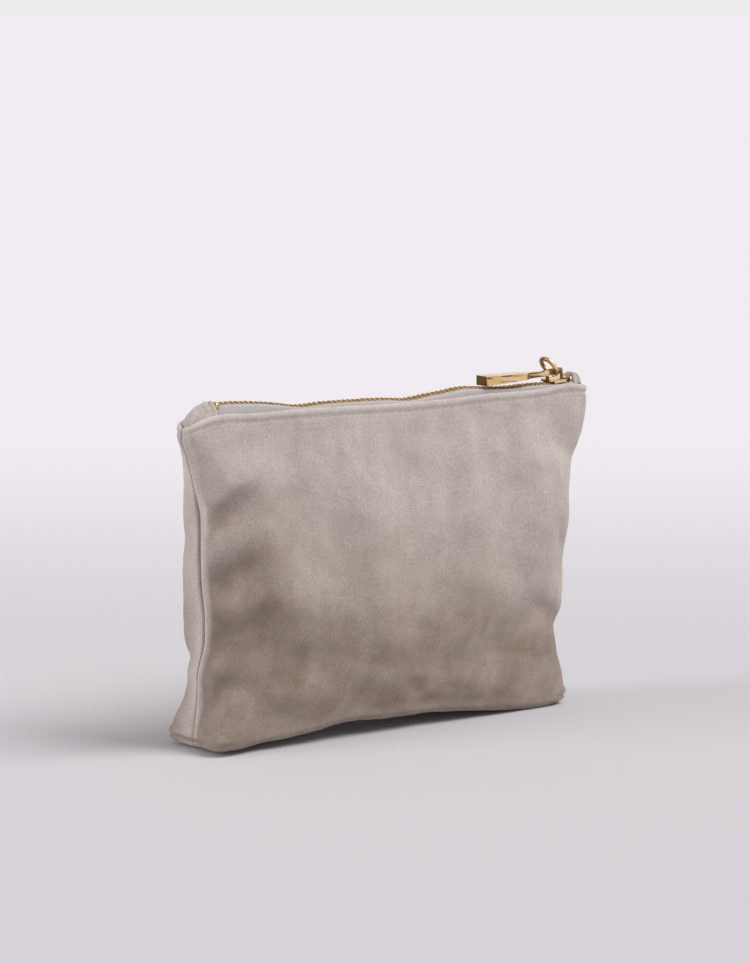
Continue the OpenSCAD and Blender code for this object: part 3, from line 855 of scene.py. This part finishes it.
def zip_teeth(side, shift, first, last):
    """One row of teeth, numbered from the bag's middle and set off by a share of the pitch."""
    form_points, form_faces = tooth_form()
    rng = np.random.default_rng(12 + side)
    points, faces, weights, tone = [], [], [], []
    for k in range(first, last + 1):
        x = (k + shift) * TOOTH_PITCH
        slope = math.atan(zip_dz(x + 0.5) - zip_dz(x - 0.5))
        yaw = rng.normal(0, 0.025)
        p = form_points.copy()
        px = p[:, 0] * math.cos(yaw) - p[:, 1] * math.sin(yaw)
        py = p[:, 0] * math.sin(yaw) + p[:, 1] * math.cos(yaw)
        qx = px * math.cos(slope) - p[:, 2] * math.sin(slope)
        qz = px * math.sin(slope) + p[:, 2] * math.cos(slope)
        lift = rng.normal(0, 0.03)
        place = np.stack([x + qx, MOUTH_Y - side * py, ZIP_Z + zip_dz(x) + lift + qz], axis=1)
        faces += [tuple(i + len(points) * len(p) for i in f) for f in form_faces]
        points.append(place)
        weights.append(np.full(len(p), opening(x, EDGE_Z)))
        tone.append(np.full(len(p), rng.uniform(0, 1)))
    if side < 0:
        faces = flipped(faces)
    obj = make_mesh(f"{SIDE_NAME[side]}_zip_teeth", np.concatenate(points), faces, BRASS,
                    tone=np.concatenate(tone))
    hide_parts(f"{SIDE_NAME[side]}_teeth", f"{SIDE_NAME[side]}_end_teeth")
    set_bend(obj)


# ---------------------------------------------------------------- end tabs, stitches, stops

def end_tab(sign):
    """A suede tab over one end of the zip, draped between the edges of the mouth's corner."""
    side_name = "left" if sign < 0 else "right"
    low, high = box_mm(f"{side_name}_end_tab")
    inner = min(abs(low[0]), abs(high[0])) - TAB_OVERHANG[sign]
    outer = TAB_END
    power = squareness(EDGE_Z)
    ring_v = np.sin(np.linspace(-math.pi / 2, math.pi / 2, 25))
    stations = 0.5 - 0.5 * np.cos(np.linspace(0, math.pi, 44))
    points, pattern, worn = [], [], []

    def place(reach, v):
        """Middle of the tab's thickness at a distance outwards and a share across."""
        room = max(0.0, 1 - (reach / (TOP_HALF_W - 1.7)) ** power) ** (1 / power)
        y = ROOF_HALF * room * v
        spread_out = float(side_wave(EDGE_Z, sign < 0)) * ((reach - inner) / (outer - inner)) ** 2
        return np.array([sign * (reach + spread_out), MOUTH_Y + y,
                         roof(sign * reach, y) - 0.2])

    for t in stations:
        reach = inner + (outer - inner) * t
        gone = reach - inner
        blunt = math.sqrt(max(0.0, 1 - (1 - min(1, (gone + 0.03) / 0.8)) ** 2))
        cap = blunt * math.sqrt(max(0.02, 1 - max(0, (t - 0.9) / 0.1) ** 2))
        ridges = (0.75 * bump(gone, 0.9, 0.65) - 0.55 * bump(gone, 2.2, 0.55)
                  + 0.6 * bump(gone, 3.5, 0.7) - 0.45 * bump(gone, 4.9, 0.7))
        for over in (1, -1):
            for v in (ring_v if over > 0 else ring_v[-2:0:-1]):
                thick = (TAB_HALF_T + (ridges if over > 0 else 0)
                         + 0.12 * float(ripple(np.array(gone), np.array(v * 5), 7 + sign, 6)))
                thick *= cap * math.sqrt(max(0.03, 1 - abs(v) ** 6))
                points.append(place(reach, v) + np.array([0, 0, over * thick]))
                pattern.append((reach, v * 5, 40 + over))
                # paler tab ridges: partly wear, partly painted highlight
                worn.append(0.8 * bump(gone, 0.8, 0.5) + 0.5 * bump(gone, 3.7, 0.5))
    faces = tube_faces(len(stations), 2 * len(ring_v) - 2)
    if sign < 0:
        faces = flipped(faces)
    obj = make_mesh(f"{side_name}_suede_tab", points, faces, SUEDE,
                    pattern=pattern, worn=np.clip(worn, 0, 1))
    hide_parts(f"{side_name}_end_tab")
    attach(obj, "bag")
    # the tab's rows of stitches
    tops = [[place(inner + row, v) + np.array([0, 0, TAB_HALF_T - 0.05])
             for v in np.linspace(-0.88, 0.88, 60)] for row in TAB_STITCHES[sign]]
    stitches(f"{side_name}_tab_thread", tops, 1.7, 0.6, [f"{side_name}_tab_stitches"])


def stitches(name, lines, length, gap, nodes, body=None):
    """Thread stitches lying along lines of points: short capsules, their ends sunk in.

    They ride on the bag, or stay where they are made when a body is given.
    """
    cuts, around, radius = 7, 8, 0.2
    points, faces, weights = [], [], []
    for line in lines:
        line = np.asarray(line, float)
        gone = np.concatenate([[0], np.cumsum(np.linalg.norm(np.diff(line, axis=0), axis=1))])
        at = gap
        while at + length < gone[-1]:
            places = np.linspace(at, at + length, cuts)
            centre = np.stack([np.interp(places, gone, line[:, k]) for k in range(3)], axis=1)
            along = centre[-1] - centre[0]
            along /= np.linalg.norm(along)
            side = np.cross(along, [0, 0, 1])
            side /= np.linalg.norm(side)
            up = np.cross(side, along)
            faces += tube_faces(cuts, around, start=len(points))
            for j, c in enumerate(centre):
                r = radius * (1 - abs(2 * j / (cuts - 1) - 1) ** 3.5 * 0.75)
                for k in range(around):
                    a = math.tau * k / around
                    points.append(c + (side * math.cos(a) + up * math.sin(a)) * r)
            weights += [float(opening(centre[cuts // 2][0], EDGE_Z))] * (cuts * around)
            at += length + gap
    obj = make_mesh(name, points, flipped(faces), THREAD)
    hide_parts(*nodes)
    if body is None:
        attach(obj, "bag")
    else:
        set_bend(obj)


def topstitch(side):
    """The row of stitches below the folded edge of the mouth."""
    middle = EDGE_Z - STITCH_DROP
    rows = np.array([middle - 0.4, middle, middle + 0.4])
    x, y, z, arc, level, run = form(side, rows, 400)
    plain = np.stack([x, y, z], axis=2)
    out = outward(plain, side)
    on = (plain + out * (relief(x, level, arc, run, side) + 0.1)[:, :, None])[1]
    near = np.minimum(arc, run - arc)[1]
    line = on[near > 9]                          # the side seams are left clear
    stitches(f"{SIDE_NAME[side]}_mouth_thread", [line], 2.2, 0.9,
             [f"{SIDE_NAME[side]}_topstitch", f"{SIDE_NAME[side]}_topstitch_ends"],
             MOUTH_BODY[side])


def stop_clip(name, node):
    """A pair of metal clips pressed over both tapes' beads at one end of the zip."""
    low, high = box_mm(node)
    x = (low[0] + high[0]) / 2
    around, half_length = 14, 0.8
    stations = [(-3.0, 0.7), (-2.8, 1.15), (-1.0, 1.25), (-0.5, 0.9), (-0.42, 0.5)]
    points, faces = [], []
    for side in SIDES:
        own = tube_faces(len(stations), around, start=len(points))
        faces += own if side > 0 else flipped(own)
        for y, h in stations:
            for k in range(around):
                a = math.tau * (k + 0.5) / around
                c, s = math.cos(a), math.sin(a)
                px = half_length * np.sign(c) * abs(c) ** 0.5
                points.append((x + px, MOUTH_Y - side * y, ZIP_Z + zip_dz(x)
                               + h * np.sign(s) * abs(s) ** 0.6))
    obj = make_mesh(name, points, faces, SATIN_GOLD)
    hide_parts(node)
    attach(obj, "bag")


# ---------------------------------------------------------------- build the pouch

for each_side in SIDES:
    SETTLED[each_side] = settle(each_side)
for each_side in SIDES:
    suede_shell(each_side)
for each_side in SIDES:
    lining_shell(each_side)
for each_side in SIDES:
    zip_tape(each_side)
zip_teeth(-1, 0.0, -36, 37)
zip_teeth(1, 0.5, -37, 36)
for each_end in (-1, 1):
    end_tab(each_end)
for each_side in SIDES:
    topstitch(each_side)
stop_clip("top_stop_clips", "top_stops")
stop_clip("bottom_stop_clip", "bottom_stop")

for node, material, radius in (("slider_body", GOLD, 0.25), ("slider_bail", GOLD, 0.18),
                               ("puller_bar", GOLD, 0.28), ("pull_ring", SATIN_GOLD, 0)):
    part = frame["nodes"][node]
    part.data.materials.clear()
    part.data.materials.append(material)
    if radius:
        bevel = part.modifiers.new("soft_edges", "BEVEL")
        bevel.width = radius * MM
        bevel.segments = 3
        bevel.limit_method = "ANGLE"
        bevel.angle_limit = math.radians(35)
        bevel.harden_normals = True

RING_PLATING = 0.2
plating = frame["nodes"]["pull_ring"].modifiers.new("plating", "DISPLACE")
plating.strength = RING_PLATING * MM
plating.mid_level = 0.0


# ---------------------------------------------------------------- stage, light, camera

NEAR_FLOOR = srgb(201, 199, 203)
FAR_FLOOR = srgb(225, 222, 226)
FLOOR_TURN = math.radians(-37)                   # the floor's own +Y points away from the camera
FLOOR_HALF = 60.0                                # metres
SKY_LINE = 0.855                                 # the backdrop's brightness at the skyline
OVERHEAD = 0.42                                  # and above the bag


def sun(name, source, strength, spread, colour=(1, 1, 1)):
    """A far, soft lamp: source points from the bag to the lamp and spread is in degrees."""
    lamp = bpy.data.lights.new(name, "SUN")
    lamp.energy = strength
    lamp.angle = math.radians(spread)
    lamp.color = colour
    obj = bpy.data.objects.new(name, lamp)
    obj.rotation_euler = Vector(source).to_track_quat("Z", "Y").to_euler()
    bpy.context.scene.collection.objects.link(obj)


def floor():
    """A pale floor with painted shade: darker near the bag and lighter towards the back, like the
    light on a studio sweep.
    """
    n = Nodes("floor")
    place = n.add("ShaderNodeTexCoord").outputs["Object"]
    depth = n.add("ShaderNodeSeparateXYZ", {0: place}).outputs[1]
    share = n.add("ShaderNodeMapRange", {"Value": depth, "From Min": 0.02, "From Max": 1.1},
                  interpolation_type="SMOOTHERSTEP").outputs[0]
    away = n.add("ShaderNodeVectorMath", {0: place}, operation="LENGTH").outputs["Value"]
    share = n.math("MAXIMUM", share, n.spread(away, 1.2, 6.0))
    # painted shade: the floor's colour runs from the darker near colour to the paler far one
    n.set(Base_Color=n.mix(share, NEAR_FLOOR, FAR_FLOOR), Roughness=0.9,
          Specular_IOR_Level=0.0)
    corners = [(FLOOR_HALF * x, FLOOR_HALF * y, 0)
               for x, y in ((-1, -1), (1, -1), (1, 1), (-1, 1))]
    mesh = bpy.data.meshes.new("floor")
    mesh.from_pydata(corners, [], [(0, 1, 2, 3)])
    mesh.materials.append(n.material)
    obj = bpy.data.objects.new("floor", mesh)
    obj.rotation_euler.z = FLOOR_TURN
    bpy.context.scene.collection.objects.link(obj)


floor()
world = bpy.data.worlds.new("studio")
world.use_nodes = True
tree = world.node_tree
direction = tree.nodes.new("ShaderNodeTexCoord").outputs["Generated"]
split = tree.nodes.new("ShaderNodeSeparateXYZ")
tree.links.new(direction, split.inputs[0])
lift = tree.nodes.new("ShaderNodeMapRange")      # pale at the skyline, dimmer overhead
lift.interpolation_type = "SMOOTHSTEP"
lift.inputs["From Min"].default_value, lift.inputs["From Max"].default_value = 0.1, 0.55
lift.inputs["To Min"].default_value, lift.inputs["To Max"].default_value = SKY_LINE, OVERHEAD
tree.links.new(split.outputs[2], lift.inputs["Value"])
tree.nodes["Background"].inputs[0].default_value = (1.0, 0.975, 1.0, 1)
tree.links.new(lift.outputs[0], tree.nodes["Background"].inputs[1])
bpy.context.scene.world = world
sun("key", (0.5, -0.62, 1.0), 2.3, 36, (1, 0.99, 0.975))
sun("rim", (-0.95, 0.3, 0.3), 1.3, 30)

camera = bpy.data.cameras.new("camera")
camera.sensor_width = 36
camera.lens = 130.3
camera.dof.use_dof = False
camera.clip_start, camera.clip_end = 0.05, 60
eye = bpy.data.objects.new("camera", camera)
AZIMUTH, ELEVATION, DISTANCE = math.radians(-36.8), math.radians(7.9), 1.495
back = Vector((math.sin(AZIMUTH) * math.cos(ELEVATION), -math.cos(AZIMUTH) * math.cos(ELEVATION),
               math.sin(ELEVATION)))
eye.location = Vector((0.0006, 0, 0.1049)) + back * DISTANCE
eye.rotation_euler = (-back).to_track_quat("-Z", "Y").to_euler()
bpy.context.scene.collection.objects.link(eye)
bpy.context.scene.camera = eye
bpy.context.scene.view_settings.view_transform = "Standard"
